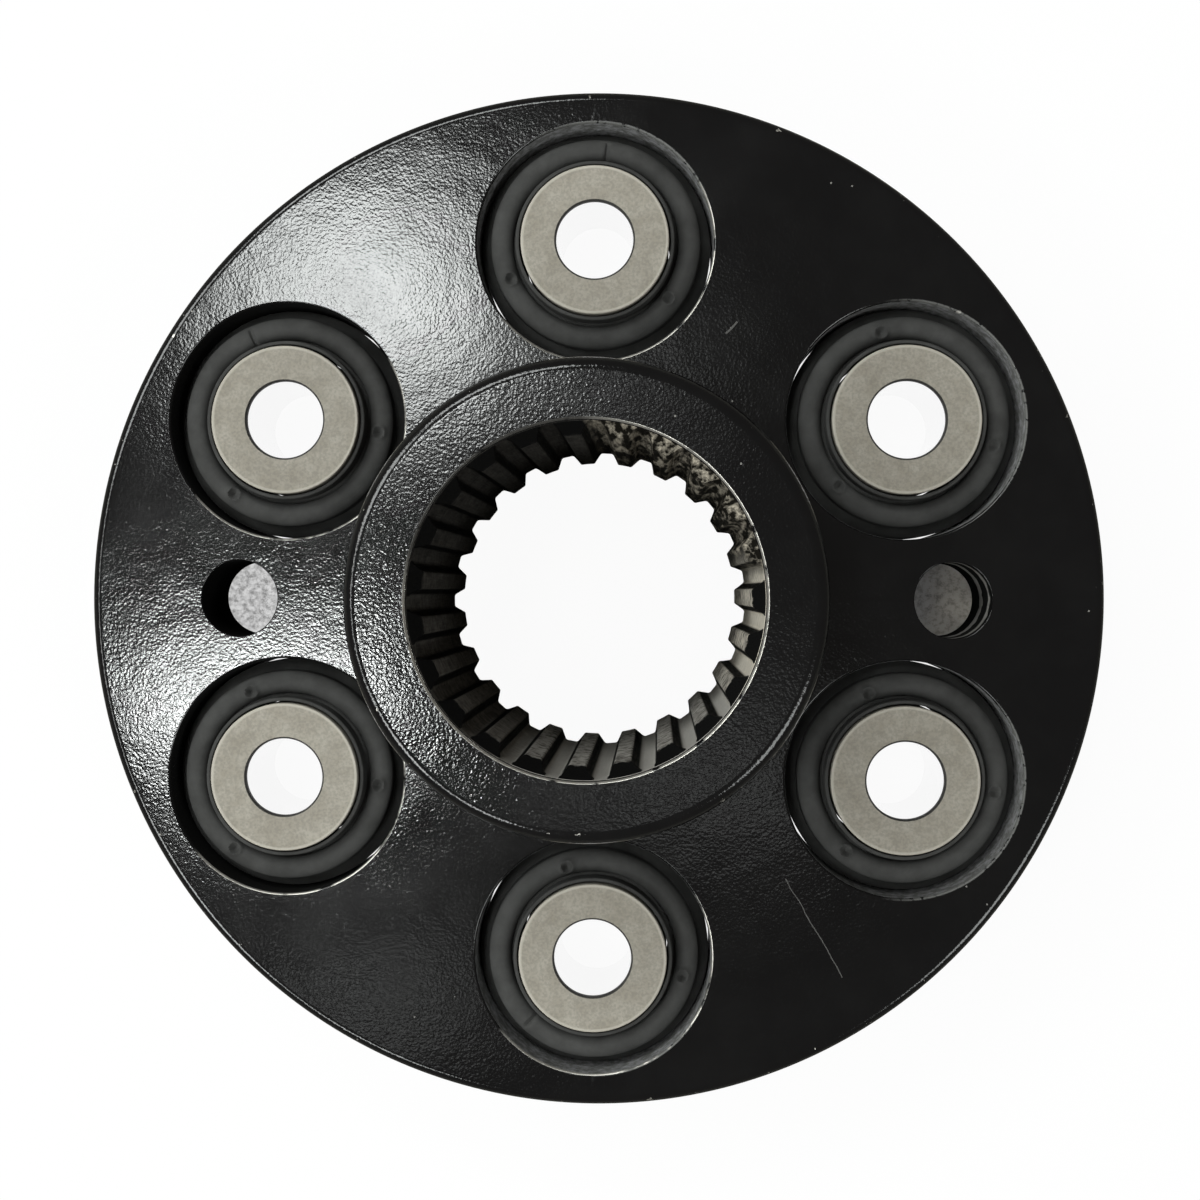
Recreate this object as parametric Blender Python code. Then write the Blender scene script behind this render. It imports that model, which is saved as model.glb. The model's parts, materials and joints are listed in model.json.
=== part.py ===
"""Flexible drive coupling, lying flat with the long end of its hub up.

One steel piece is both flange and hub, with an internal spline. Six rubber bushes sit in its bolt circle, each
bonded round a plain steel sleeve. Metres, +Z up, origin on the axis at the lower end of the hub. Every diameter is
built outwards from the spline and from the sleeves' bore, so each wall and web has a value of its own.
"""

import math

import bmesh
import bpy

# Spline: 30 degree involute, twelve teeth to an inch of pitch diameter
SPLINE_TEETH = 23
SPLINE_MODULE = 0.0254 / 12
SPLINE_PRESSURE_ANGLE = math.radians(30)
SPLINE_SPACE_WIDTH = 0.0037
SPLINE_FLOOR_ADDENDUM = 0.675
SPLINE_TIP_ADDENDUM = 0.21
SPLINE_FIRST_TOOTH = math.radians(1.0)
SPLINE_MOUTH_EDGE = 0.00015
SPLINE_LEAD_IN = 0.0036
SPLINE_REAR_LEAD_IN = 0.001

# Hub and flange
HUB_WALL = 0.00923
HUB_RISE = 0.035
HUB_DROP = 0.009
HUB_EDGE = 0.002
HUB_REAR_EDGE = 0.001
HUB_FILLET = 0.0025
FLANGE_THICKNESS = 0.018
FLANGE_EDGE = 0.0016
HUB_TO_BUSH_WEB = 0.0038
RIM_WEB = 0.0053

# Sleeves and bushes
BUSH_COUNT = 6
FIRST_BUSH = math.radians(90)
SLEEVE_BORE = 0.0125
SLEEVE_WALL = 0.00575
SLEEVE_PROUD = 0.002
SLEEVE_EDGE = 0.0002
RUBBER_WALL = 0.0072
BUSH_BORE_EDGE = 0.0005
LIP_THICKNESS = 0.0006
LIP_DROP = 0.0008
GROOVE_WIDTH = 0.0005
GROOVE_DEPTH = 0.0024
BEAD_RECESS = 0.001
SHOULDER_GAP = 0.0018
SHOULDER_DEPTH = 0.0026
SEAT_DEPTH = 0.0065

# Plain holes between the bushes
JACK_HOLES = (0.0, math.pi)
JACK_HOLE_DIAMETER = 0.0124
JACK_HOLE_EDGE = 0.0002

# Clearance between pieces that touch, how far a cutter runs past the face it cuts, and facets
FIT_GAP = 0.0003
CUT_PAST = 0.0005
BODY_SEGMENTS = 72
RING_SEGMENTS = 32
HOLE_SEGMENTS = 24
ARC_STEPS = 3
BEAD_STEPS = 4
SHARP_ANGLE = math.radians(30)

PITCH_RADIUS = SPLINE_TEETH * SPLINE_MODULE / 2
FLOOR_RADIUS = PITCH_RADIUS + SPLINE_FLOOR_ADDENDUM * SPLINE_MODULE
TIP_RADIUS = PITCH_RADIUS - SPLINE_TIP_ADDENDUM * SPLINE_MODULE
HUB_RADIUS = FLOOR_RADIUS + HUB_WALL
SLEEVE_RADIUS = SLEEVE_BORE / 2 + SLEEVE_WALL
BUSH_RADIUS = SLEEVE_RADIUS + RUBBER_WALL
BOLT_CIRCLE_RADIUS = HUB_RADIUS + HUB_TO_BUSH_WEB + BUSH_RADIUS
FLANGE_RADIUS = BOLT_CIRCLE_RADIUS + BUSH_RADIUS + RIM_WEB
FLANGE_REAR = HUB_DROP
FLANGE_FRONT = FLANGE_REAR + FLANGE_THICKNESS
FLANGE_MIDDLE = (FLANGE_REAR + FLANGE_FRONT) / 2
HUB_FRONT = FLANGE_FRONT + HUB_RISE


def clear_scene():
    for thing in list(bpy.data.objects):
        bpy.data.objects.remove(thing, do_unlink=True)


def make_material(name, colour, roughness, metallic):
    material = bpy.data.materials.new(name)
    material.use_nodes = True
    shader = material.node_tree.nodes["Principled BSDF"]
    shader.inputs["Base Color"].default_value = (*colour, 1.0)
    shader.inputs["Roughness"].default_value = roughness
    shader.inputs["Metallic"].default_value = metallic
    return material


def arc(centre_r, centre_z, radius, start, end):
    """Points of a quarter round in the turning plane, both ends included."""
    angles = [math.radians(start + (end - start) * i / ARC_STEPS) for i in range(ARC_STEPS + 1)]
    return [(centre_r + radius * math.cos(a), centre_z + radius * math.sin(a)) for a in angles]


def turned(outline, segments, ring):
    """Turns an outline of (radius, height) about Z: a closed loop into a ring, an open line into a capped solid."""
    bm = bmesh.new()
    rows = []
    for radius, height in outline:
        turns = [2 * math.pi * k / segments for k in range(segments)]
        rows.append([bm.verts.new((radius * math.cos(a), radius * math.sin(a), height)) for a in turns])
    pairs = list(zip(rows, rows[1:]))
    if ring:
        pairs.append((rows[-1], rows[0]))
    for low, high in pairs:
        for k in range(segments):
            n = (k + 1) % segments
            bm.faces.new((low[k], low[n], high[n], high[k]))
    if not ring:
        bm.faces.new(reversed(rows[0]))
        bm.faces.new(rows[-1])
    bmesh.ops.recalc_face_normals(bm, faces=bm.faces)
    return bm


def as_mesh(bm, name):
    mesh = bpy.data.meshes.new(name)
    bm.to_mesh(mesh)
    bm.free()
    mesh.shade_smooth()
    mesh.set_sharp_from_angle(angle=SHARP_ANGLE)
    return mesh


def place(name, mesh, spot=(0.0, 0.0, 0.0)):
    thing = bpy.data.objects.new(name, mesh)
    thing.location = spot
    bpy.context.collection.objects.link(thing)
    return thing


def on_bolt_circle(angle):
    return (BOLT_CIRCLE_RADIUS * math.cos(angle), BOLT_CIRCLE_RADIUS * math.sin(angle), 0.0)


def body_outline():
    """Half section of flange and hub, from the spline's rear mouth round the outside to its front mouth."""
    points = [
        (TIP_RADIUS, SPLINE_REAR_LEAD_IN),
        (TIP_RADIUS + SPLINE_REAR_LEAD_IN, 0.0),
        (HUB_RADIUS - HUB_REAR_EDGE, 0.0),
        (HUB_RADIUS, HUB_REAR_EDGE),
    ]
    points += arc(HUB_RADIUS + HUB_FILLET, FLANGE_REAR - HUB_FILLET, HUB_FILLET, 180, 90)
    points += [
        (FLANGE_RADIUS - FLANGE_EDGE, FLANGE_REAR),
        (FLANGE_RADIUS, FLANGE_REAR + FLANGE_EDGE),
        (FLANGE_RADIUS, FLANGE_FRONT - FLANGE_EDGE),
        (FLANGE_RADIUS - FLANGE_EDGE, FLANGE_FRONT),
    ]
    points += arc(HUB_RADIUS + HUB_FILLET, FLANGE_FRONT + HUB_FILLET, HUB_FILLET, 270, 180)
    points += arc(HUB_RADIUS - HUB_EDGE, HUB_FRONT - HUB_EDGE, HUB_EDGE, 0, 90)
    points += [
        (FLOOR_RADIUS + SPLINE_MOUTH_EDGE, HUB_FRONT),
        (TIP_RADIUS, HUB_FRONT - SPLINE_LEAD_IN),
    ]
    return points


def half_space_angle(radius):
    """Half the angle of a tooth space: it narrows outwards along the involute of the base circle."""
    base = PITCH_RADIUS * math.cos(SPLINE_PRESSURE_ANGLE)
    pitch_involute = math.tan(SPLINE_PRESSURE_ANGLE) - SPLINE_PRESSURE_ANGLE
    angle = math.acos(base / radius)
    return SPLINE_SPACE_WIDTH / (2 * PITCH_RADIUS) + pitch_involute - (math.tan(angle) - angle)


def spline_cutter():
    """Prism of the tooth spaces: it runs just inside the tips, and out along each flank to the floor."""
    inside = TIP_RADIUS - CUT_PAST
    flank = [inside, TIP_RADIUS, (TIP_RADIUS + FLOOR_RADIUS) / 2, FLOOR_RADIUS]
    corners = []
    for k in range(SPLINE_TEETH):
        middle = SPLINE_FIRST_TOOTH + (k + 0.5) * 2 * math.pi / SPLINE_TEETH
        corners += [(r, middle - half_space_angle(r)) for r in flank]
        corners += [(r, middle + half_space_angle(r)) for r in reversed(flank)]
    bm = bmesh.new()
    low = [bm.verts.new((r * math.cos(a), r * math.sin(a), -CUT_PAST)) for r, a in corners]
    high = [bm.verts.new((r * math.cos(a), r * math.sin(a), HUB_FRONT + CUT_PAST)) for r, a in corners]
    for i in range(len(corners)):
        n = (i + 1) % len(corners)
        bm.faces.new((low[i], low[n], high[n], high[i]))
    bm.faces.new(reversed(low))
    bm.faces.new(high)
    return bm


def hole_cutter(radius, edge, segments):
    """Plug through the flange that opens at 45 degrees from the edge break outwards at both faces."""
    flare = radius + edge + CUT_PAST
    outline = [
        (flare, FLANGE_REAR - CUT_PAST),
        (radius, FLANGE_REAR + edge),
        (radius, FLANGE_FRONT - edge),
        (flare, FLANGE_FRONT + CUT_PAST),
    ]
    return turned(outline, segments, ring=False)


def cut(body, cutter):
    cutter.hide_render = True
    cutter.display_type = "WIRE"
    modifier = body.modifiers.new(cutter.name, "BOOLEAN")
    modifier.operation = "DIFFERENCE"
    modifier.solver = "EXACT"
    modifier.object = cutter


def bush_angles():
    return [FIRST_BUSH + k * 2 * math.pi / BUSH_COUNT for k in range(BUSH_COUNT)]


def build_flange_and_hub(paint):
    mesh = as_mesh(turned(body_outline(), BODY_SEGMENTS, ring=True), "flange_hub")
    mesh.materials.append(paint)
    body = place("flange_hub", mesh)
    cut(body, place("spline_spaces", as_mesh(spline_cutter(), "spline_spaces")))
    bush_bore = as_mesh(hole_cutter(BUSH_RADIUS, BUSH_BORE_EDGE, RING_SEGMENTS), "bush_bore")
    for number, angle in enumerate(bush_angles(), 1):
        cut(body, place(f"bush_bore_{number}", bush_bore, on_bolt_circle(angle)))
    jack_hole = as_mesh(hole_cutter(JACK_HOLE_DIAMETER / 2, JACK_HOLE_EDGE, HOLE_SEGMENTS), "jack_hole")
    for number, angle in enumerate(JACK_HOLES, 1):
        cut(body, place(f"jack_hole_{number}", jack_hole, on_bolt_circle(angle)))


def sleeve_outline():
    low = FLANGE_REAR - SLEEVE_PROUD
    high = FLANGE_FRONT + SLEEVE_PROUD
    bore = SLEEVE_BORE / 2
    return [
        (bore, low + SLEEVE_EDGE),
        (bore + SLEEVE_EDGE, low),
        (SLEEVE_RADIUS - SLEEVE_EDGE, low),
        (SLEEVE_RADIUS, low + SLEEVE_EDGE),
        (SLEEVE_RADIUS, high - SLEEVE_EDGE),
        (SLEEVE_RADIUS - SLEEVE_EDGE, high),
        (bore + SLEEVE_EDGE, high),
        (bore, high - SLEEVE_EDGE),
    ]


def rubber_outline():
    """Half section of a bush: a thin lip on the sleeve, a groove, a round bead and a step down to the bore wall."""
    inner = SLEEVE_RADIUS + FIT_GAP
    outer = BUSH_RADIUS - FIT_GAP
    lip = inner + LIP_THICKNESS
    bead_in = lip + GROOVE_WIDTH
    bead_out = outer - SHOULDER_GAP
    upper = [
        (outer, FLANGE_FRONT - SEAT_DEPTH),
        (bead_out, FLANGE_FRONT - (SHOULDER_DEPTH + SEAT_DEPTH) / 2),
    ]
    middle = (bead_in + bead_out) / 2
    half_width = (bead_out - bead_in) / 2
    crest = SHOULDER_DEPTH - BEAD_RECESS
    for i in range(BEAD_STEPS + 1):
        a = math.pi * i / BEAD_STEPS
        height = FLANGE_FRONT - SHOULDER_DEPTH + crest * math.sin(a)
        upper.append((middle + half_width * math.cos(a), height))
    upper += [
        (lip, FLANGE_FRONT - GROOVE_DEPTH),
        (lip, FLANGE_FRONT + SLEEVE_PROUD - LIP_DROP),
        (inner, FLANGE_FRONT + SLEEVE_PROUD - LIP_DROP),
    ]
    lower = [(r, 2 * FLANGE_MIDDLE - z) for r, z in reversed(upper)]
    return upper + lower


def build_bushes(rubber, steel):
    sleeve = as_mesh(turned(sleeve_outline(), RING_SEGMENTS, ring=True), "bolt_sleeve")
    sleeve.materials.append(steel)
    bush = as_mesh(turned(rubber_outline(), RING_SEGMENTS, ring=True), "rubber_bush")
    bush.materials.append(rubber)
    for number, angle in enumerate(bush_angles(), 1):
        place(f"rubber_bush_{number}", bush, on_bolt_circle(angle))
        place(f"bolt_sleeve_{number}", sleeve, on_bolt_circle(angle))


def main():
    clear_scene()
    paint = make_material("gloss_black_paint", (0.010, 0.010, 0.011), 0.25, 0.0)
    rubber = make_material("moulded_rubber", (0.035, 0.035, 0.037), 0.6, 0.0)
    steel = make_material("ground_steel", (0.35, 0.34, 0.31), 0.4, 1.0)
    build_flange_and_hub(paint)
    build_bushes(rubber, steel)


main()
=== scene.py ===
"""Looks of a flexible drive coupling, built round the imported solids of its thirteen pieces.

The flange and hub, the six rubber bushes and the six bolt sleeves are each worked out again as fine
surfaces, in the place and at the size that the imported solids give, and get their finishes here. All is in
metres, with +Z and the hub's front up.
"""

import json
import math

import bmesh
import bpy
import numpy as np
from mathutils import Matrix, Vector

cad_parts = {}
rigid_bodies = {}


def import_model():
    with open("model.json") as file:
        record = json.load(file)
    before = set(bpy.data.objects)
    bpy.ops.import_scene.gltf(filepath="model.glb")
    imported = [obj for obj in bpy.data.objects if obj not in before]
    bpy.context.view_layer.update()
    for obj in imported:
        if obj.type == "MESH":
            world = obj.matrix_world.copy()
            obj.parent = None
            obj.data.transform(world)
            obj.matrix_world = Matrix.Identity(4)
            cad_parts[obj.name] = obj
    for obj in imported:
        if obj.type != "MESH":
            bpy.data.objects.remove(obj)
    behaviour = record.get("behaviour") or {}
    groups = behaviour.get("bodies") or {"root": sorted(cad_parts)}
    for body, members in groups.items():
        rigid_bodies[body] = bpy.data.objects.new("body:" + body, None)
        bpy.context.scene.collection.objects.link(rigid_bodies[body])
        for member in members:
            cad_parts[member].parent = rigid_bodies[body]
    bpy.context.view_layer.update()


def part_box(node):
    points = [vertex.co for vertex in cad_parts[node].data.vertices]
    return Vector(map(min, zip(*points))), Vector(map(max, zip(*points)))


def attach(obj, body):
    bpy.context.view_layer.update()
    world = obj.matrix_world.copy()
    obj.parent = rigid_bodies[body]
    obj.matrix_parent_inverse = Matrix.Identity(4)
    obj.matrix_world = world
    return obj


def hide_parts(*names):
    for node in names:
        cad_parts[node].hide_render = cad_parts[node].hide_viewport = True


bl_info = {
    "name": "Flexible Drive Coupling",
    "version": (1, 0, 0),
    "blender": (4, 5, 0),
    "location": "3D View > Sidebar > Coupling",
    "description": "Fine surfaces, finishes and a studio for a flexible drive coupling",
    "category": "Object",
}

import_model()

MM = 0.001
BUSH_COUNT = 6
FIRST_BUSH = math.radians(90)

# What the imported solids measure
BODY_LOW, BODY_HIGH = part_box("flange_hub")
SLEEVE_LOW, SLEEVE_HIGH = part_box("bolt_sleeve_1")
RUBBER_LOW, RUBBER_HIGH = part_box("rubber_bush_1")
BOLT_CIRCLE = (SLEEVE_LOW.y + SLEEVE_HIGH.y) / 2
SLEEVE_RADIUS = (SLEEVE_HIGH.x - SLEEVE_LOW.x) / 2
RUBBER_RADIUS = (RUBBER_HIGH.x - RUBBER_LOW.x) / 2

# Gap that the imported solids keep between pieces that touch
FIT_GAP = 0.3 * MM

# Side of the spline's bore painted dark as shade, where its walls face away from the lamps
PAINTED_SHADE_SIDE = math.radians(128)

# Side of the bush bores whose edges get a painted highlight
FAR_SIDE = math.radians(-55)

# Side of the spline with crumbs of rust and dried paint
CRUMB_SIDE = math.radians(50)

# How far each bush was turned as it was pressed in, and which of its three moulded dots is a radial tick
BUSH_TURNS = (83, 113, 114, 107, 112, 105)
BUSH_TICKS = (0, 0, None, 1, None, None)
DOT_COUNT = 3

# A tick is a straight groove: half its length, its width, and its depth as a share of a dot's
TICK_REACH = 1.2 * MM
TICK_WIDTH = 0.3 * MM
TICK_DEPTH = 0.6

# The low ring round a dot: its radius and width in dot radii, and its height as a share of the dot's depth
RING_RADIUS = 1.7
RING_WIDTH = 0.5
RING_HEIGHT = 0.35

# How far in and out from the dots' circle the marks reach
MARKS_IN = 2 * MM
MARKS_OUT = 2.3 * MM

# Rounds of a bush's corners, and the powers that lean its bead inwards and flatten it
SEAT_ROUND = 0.4 * MM
FOOT_ROUND = 0.6 * MM
LIP_ROUND = 0.28 * MM
SMALL_ROUND = 0.1 * MM
BEAD_LEAN = 1.15
BEAD_FLATNESS = 0.8

# Marks in the enamel of the flange's face: start, end and width, in mm
SCRATCHES = (
    ((31.2, -45.2), (40.5, -61.1), 0.16),
    ((21.2, 43.1), (23.1, 45.0), 0.35),
    ((14.9, 27.1), (16.4, 29.9), 0.20),
)

# How far out the camera sees the ground through the plain holes, where a patch of painted shade lies on the
# floor
GROUND_SPOT = BOLT_CIRCLE + 3.5 * MM

# Fineness of the surfaces
BODY_SEGMENTS = 288
BORE_SEGMENTS = 144
HOLE_SEGMENTS = 96
SLEEVE_SEGMENTS = 128
BUSH_SEGMENTS = 320
ARC_STEPS = 8
BEAD_STEPS = 26
FLANK_STEPS = 7
SHARP_ANGLE = math.radians(25)

# How far a cutter runs past a face, how far two faces are kept off one plane, and how far a face's middle
# may lie from the wall that it belongs to
CUT_PAST = 0.5 * MM
LIFT = 0.02 * MM
WALL_SLACK = 0.02 * MM

# Half the width of the ground whose painted light grows from +X to -X as it is seen through the plain holes
GROUND_REACH = 60 * MM


def linear(hexadecimal):
    """sRGB hex to the linear colour that Blender's sockets hold."""
    parts = np.array([int(hexadecimal[i:i + 2], 16) for i in (1, 3, 5)]) / 255
    low = parts / 12.92
    high = ((parts + 0.055) / 1.055) ** 2.4
    return (*np.where(parts <= 0.04045, low, high), 1.0)


def length(name, description, metres):
    """Property for a length in metres."""
    return bpy.props.FloatProperty(name=name, description=description, default=metres, min=0.0,
                                   precision=5, unit="LENGTH", subtype="DISTANCE")


def colour(name, description, hexadecimal):
    """Property for a colour, given as sRGB hex."""
    return bpy.props.FloatVectorProperty(name=name, description=description, size=4, min=0.0, max=1.0,
                                         subtype="COLOR", default=linear(hexadecimal))


class FlangeSizes(bpy.types.PropertyGroup):
    flange_radius: length("Flange radius", "Outer radius of the disc", BODY_HIGH.x)
    flange_edge: length("Flange edge round", "Radius of the rounded rim", 1.7 * MM)
    hub_radius: length("Hub radius", "Outer radius of the hub", 35 * MM)
    hub_front: length("Hub height", "Height of the hub's front face", BODY_HIGH.z)
    hub_edge: length("Hub edge round", "Radius of the hub's rounded front edge", 2.1 * MM)
    hub_rear_edge: length("Hub rear edge round", "Radius of the hub's rear edge", 1 * MM)
    hub_fillet: length("Hub fillet", "Radius between the hub and the flange's faces", 2.5 * MM)
    bore_radius: length("Bush bore radius", "Radius of the bore that a bush is pressed into",
                        RUBBER_RADIUS + FIT_GAP)
    bore_edge: length("Bush bore edge", "Radius of the round at a bush bore's mouth", 0.5 * MM)
    jack_hole_radius: length("Small hole radius", "Radius of the two plain holes", 6.2 * MM)
    jack_hole_edge: length("Small hole edge", "Radius of the round at a plain hole's mouth", 0.3 * MM)


class SplineSizes(bpy.types.PropertyGroup):
    teeth: bpy.props.IntProperty(name="Teeth", description="Number of internal teeth", default=23, min=6)
    module: length("Module", "Pitch diameter of one tooth", 25.4 / 12 * MM)
    pressure_angle: bpy.props.FloatProperty(name="Pressure angle",
                                            description="Flank angle at the pitch circle",
                                            default=math.radians(30), unit="ROTATION", subtype="ANGLE")
    space_width: length("Space width", "Width of a tooth space on the pitch circle", 3.7 * MM)
    floor_radius: length("Floor radius", "Radius of the tooth spaces' floors", 25.771 * MM)
    tip_radius: length("Tip radius", "Radius of the tooth tips", 23.897 * MM)
    first_tooth: bpy.props.FloatProperty(name="First tooth",
                                         description="Angle of the first tooth's middle",
                                         default=math.radians(1), unit="ROTATION", subtype="ANGLE")
    mouth_edge: length("Mouth edge", "Width of the edge break round the front mouth", 0.4 * MM)
    lead_in: length("Lead-in", "Height of the cone that opens the front mouth", 3.6 * MM)
    rear_lead_in: length("Rear lead-in", "Height of the cone that opens the rear mouth", 1 * MM)
    tip_round: length("Tip round", "Reach of the round on a tooth's tip corners", 0.28 * MM)
    root_round: length("Root round", "Reach of the round in a space's floor corners", 0.3 * MM)


class BushSizes(bpy.types.PropertyGroup):
    sleeve_bore: length("Sleeve bore", "Bore of a bolt sleeve", 12.5 * MM)
    sleeve_edge: length("Sleeve edge", "Radius of a sleeve's edges", 0.25 * MM)
    sleeve_proud: length("Sleeve proud", "How far a sleeve stands out of the flange's face", 2 * MM)
    lip_thickness: length("Lip thickness", "Thickness of the rubber lip on the sleeve", 0.6 * MM)
    groove_width: length("Groove width", "Width of the groove between the lip and the bead", 0.5 * MM)
    groove_depth: length("Groove depth", "Depth of that groove under the flange's face", 2.4 * MM)
    shoulder_gap: length("Shoulder gap", "Gap between the bead and the bore's wall", 1.8 * MM)
    shoulder_depth: length("Shoulder depth", "Depth of the bead's foot under the flange's face", 2.6 * MM)
    bead_recess: length("Bead recess", "Depth of the bead's crest under the flange's face", 1 * MM)
    seat_depth: length("Seat depth", "Depth at which the rubber meets the bore's wall", 6.5 * MM)
    dot_circle: length("Dot circle", "Radius that the moulded dots lie on", 14.9 * MM)
    dot_radius: length("Dot radius", "Radius of a moulded dot", 0.6 * MM)
    dot_depth: length("Dot depth", "Depth of a moulded dot", 0.8 * MM)


class CouplingColours(bpy.types.PropertyGroup):
    enamel: colour("Enamel", "Black enamel of the flange and hub", "#0A0A0B")
    bore_wall: colour("Bore wall", "Thin dusty enamel inside the bush bores", "#666664")
    spline_steel: colour("Spline steel", "Bare broached steel of the tooth spaces", "#EAE3D5")
    sleeve_steel: colour("Sleeve steel", "Ground steel of the bolt sleeves", "#9A958A")
    rubber: colour("Rubber", "Moulded rubber of the bushes", "#343433")
    floor: colour("Floor", "Pale floor as the camera sees it", "#E8E8E8")
    ground: colour("Ground", "The floor as the paint mirrors it", "#6B6964")


class StudioSettings(bpy.types.PropertyGroup):
    camera_place: bpy.props.FloatVectorProperty(name="Camera place", description="Where the camera stands",
                                                default=(10.13 * MM, 1.5 * MM, 310.55 * MM), precision=5,
                                                unit="LENGTH", subtype="TRANSLATION")
    camera_aim: bpy.props.FloatVectorProperty(name="Camera aim",
                                              description="Point on the flange that it looks at",
                                              default=(0.98 * MM, -0.12 * MM, 27 * MM), precision=5,
                                              unit="LENGTH", subtype="TRANSLATION")
    camera_roll: bpy.props.FloatProperty(name="Camera roll", description="Turn about its line of sight",
                                         default=math.radians(0.167), unit="ROTATION", subtype="ANGLE")
    lens: bpy.props.FloatProperty(name="Lens", description="Focal length for a 36 mm wide frame, in mm",
                                  default=52.39)
    room_light: bpy.props.FloatProperty(name="Room light",
                                        description="Strength of the even light all round",
                                        default=0.13, min=0.0)
    floor_glow: bpy.props.FloatProperty(name="Floor whiteness",
                                        description="Share of plain white in the floor's look",
                                        default=0.95, min=0.0, max=1.0)


# Meshes


def rounded(corners, closed=True):
    """Outline through corners (radius, height, round), with an arc of that round at each corner.

    The arc is tangent to both sides. With u and v the unit vectors from the corner to its neighbours and
    h half the angle between them, its centre lies round / sin h along the middle of u and v, and its
    ends lie round / tan h along u and along v."""
    spots = np.array([corner[:2] for corner in corners], float)
    pieces = []
    for index, (_, _, bend) in enumerate(corners):
        spot = spots[index]
        if bend == 0 or (not closed and index in (0, len(corners) - 1)):
            pieces.append(spot[None])
            continue
        back = spots[index - 1] - spot
        ahead = spots[(index + 1) % len(spots)] - spot
        back /= np.linalg.norm(back)
        ahead /= np.linalg.norm(ahead)
        half = math.acos(back @ ahead) / 2
        centre = spot + (back + ahead) / np.linalg.norm(back + ahead) * bend / math.sin(half)
        first = spot + back * bend / math.tan(half) - centre
        last = spot + ahead * bend / math.tan(half) - centre
        sweep = math.atan2(first[0] * last[1] - first[1] * last[0], first @ last)
        turn = math.atan2(first[1], first[0]) + sweep * np.linspace(0, 1, ARC_STEPS + 1)
        pieces.append(centre + bend * np.stack((np.cos(turn), np.sin(turn)), -1))
    return np.concatenate(pieces)


def turned(outline, segments):
    """Rings of a turned outline: at turn t, the point (r, z) goes to (r cos t, r sin t, z)."""
    turn = np.linspace(0, 2 * math.pi, segments, endpoint=False)
    radius, height = outline[:, 0, None], outline[:, 1, None]
    return np.stack((radius * np.cos(turn), radius * np.sin(turn), height + 0 * turn), -1)


def surface(name, points, loop=True):
    """Mesh of closed rings, points[row, place], with four-sided faces between neighbouring rows.

    With loop the last row joins the first, and without it one flat face closes each end."""
    rows, around = points.shape[:2]
    row, place = np.meshgrid(np.arange(rows if loop else rows - 1), np.arange(around), indexing="ij")
    above, beside = (row + 1) % rows, (place + 1) % around
    quads = np.stack((row * around + place, row * around + beside,
                      above * around + beside, above * around + place), -1).reshape(-1, 4)
    corners, starts = quads.ravel(), np.arange(len(quads)) * 4
    if not loop:
        ends = np.concatenate((np.arange(around)[::-1], np.arange(around) + (rows - 1) * around))
        starts = np.concatenate((starts, len(corners) + np.array((0, around))))
        corners = np.concatenate((corners, ends))
    mesh = bpy.data.meshes.new(name)
    mesh.vertices.add(rows * around)
    mesh.vertices.foreach_set("co", points.astype(np.float32).ravel())
    mesh.loops.add(len(corners))
    mesh.loops.foreach_set("vertex_index", corners.astype(np.int32))
    mesh.polygons.add(len(starts))
    mesh.polygons.foreach_set("loop_start", starts.astype(np.int32))
    mesh.update(calc_edges=True)
    mesh.validate()
    point_outwards(mesh)
    return mesh


def point_outwards(mesh):
    """Turns every face outwards, and stops at a mesh that isn't closed."""
    bm = bmesh.new()
    bm.from_mesh(mesh)
    bmesh.ops.recalc_face_normals(bm, faces=bm.faces)
    if any(not edge.is_manifold for edge in bm.edges):
        raise RuntimeError(f"{mesh.name} isn't a closed surface")
    bm.to_mesh(mesh)
    bm.free()


def put(name, mesh):
    thing = bpy.data.objects.new(name, mesh)
    bpy.context.scene.collection.objects.link(thing)
    return thing


def carve(body, cutters):
    """Cuts a list of closed meshes out of the body, whose own mesh then holds the result."""
    group = bpy.data.collections.new("cutters")
    bpy.context.scene.collection.children.link(group)
    for mesh in cutters:
        group.objects.link(bpy.data.objects.new(mesh.name, mesh))
    cut = body.modifiers.new("Cut", "BOOLEAN")
    cut.operation = "DIFFERENCE"
    cut.solver = "EXACT"
    cut.operand_type = "COLLECTION"
    cut.collection = group
    shaped = body.evaluated_get(bpy.context.evaluated_depsgraph_get())
    body.data = bpy.data.meshes.new_from_object(shaped)
    body.modifiers.clear()
    for cutter in list(group.objects):
        bpy.data.objects.remove(cutter)
    bpy.data.collections.remove(group)
    point_outwards(body.data)


def finish_piece(thing, nodes, materials):
    """Shades the piece smooth between its sharp edges, and ties it to the frame."""
    thing.data.shade_smooth()
    thing.data.set_sharp_from_angle(angle=SHARP_ANGLE)
    for material in materials:
        thing.data.materials.append(material)
    weighted = thing.modifiers.new("Face weighted normals", "WEIGHTED_NORMAL")
    weighted.keep_sharp = True
    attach(thing, "root")
    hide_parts(*nodes)


def bush_spots():
    """Middles of the bushes, evenly spaced on the bolt circle from the first one's angle."""
    turn = FIRST_BUSH + np.arange(BUSH_COUNT) * 2 * math.pi / BUSH_COUNT
    return np.stack((BOLT_CIRCLE * np.cos(turn), BOLT_CIRCLE * np.sin(turn), 0 * turn), -1)


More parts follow.
